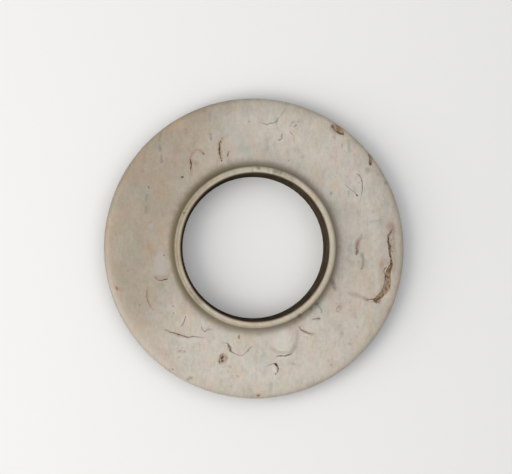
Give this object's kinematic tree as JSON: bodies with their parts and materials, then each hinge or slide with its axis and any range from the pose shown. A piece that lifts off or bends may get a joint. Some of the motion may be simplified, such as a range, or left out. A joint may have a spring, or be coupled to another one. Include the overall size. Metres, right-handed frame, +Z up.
{
  "type": "collared disc",
  "caption": "Flat round disc of polished stone with a wide central bore inside a raised collar on both faces, rounded rim, weathered fissures and earth deposits.",
  "frame": {"origin": "on the surface that the disc rests on, under the middle of the flange's outline", "axes": "+Z up along the collar's axis, out of the front face; +X to the right and +Y to the top of the disc as it is pictured from the front"},
  "size_m": [0.124, 0.124, 0.015],
  "materials": {
    "stone": "soft polish, weathered",
    "earth_deposit": "matte, crusted"
  },
  "bodies": {
    "root": {"stone_disc": "stone", "east_fissure_upper_deposit": "earth_deposit", "east_fissure_lower_deposit": "earth_deposit", "inner_pit_deposit": "earth_deposit", "north_chip_deposit": "earth_deposit", "east_chip_deposit": "earth_deposit", "northwest_fissure_deposit": "earth_deposit", "west_fissure_deposit": "earth_deposit", "south_pit_deposit": "earth_deposit", "hook_crack_deposit": "earth_deposit"}
  },
  "joints": []
}
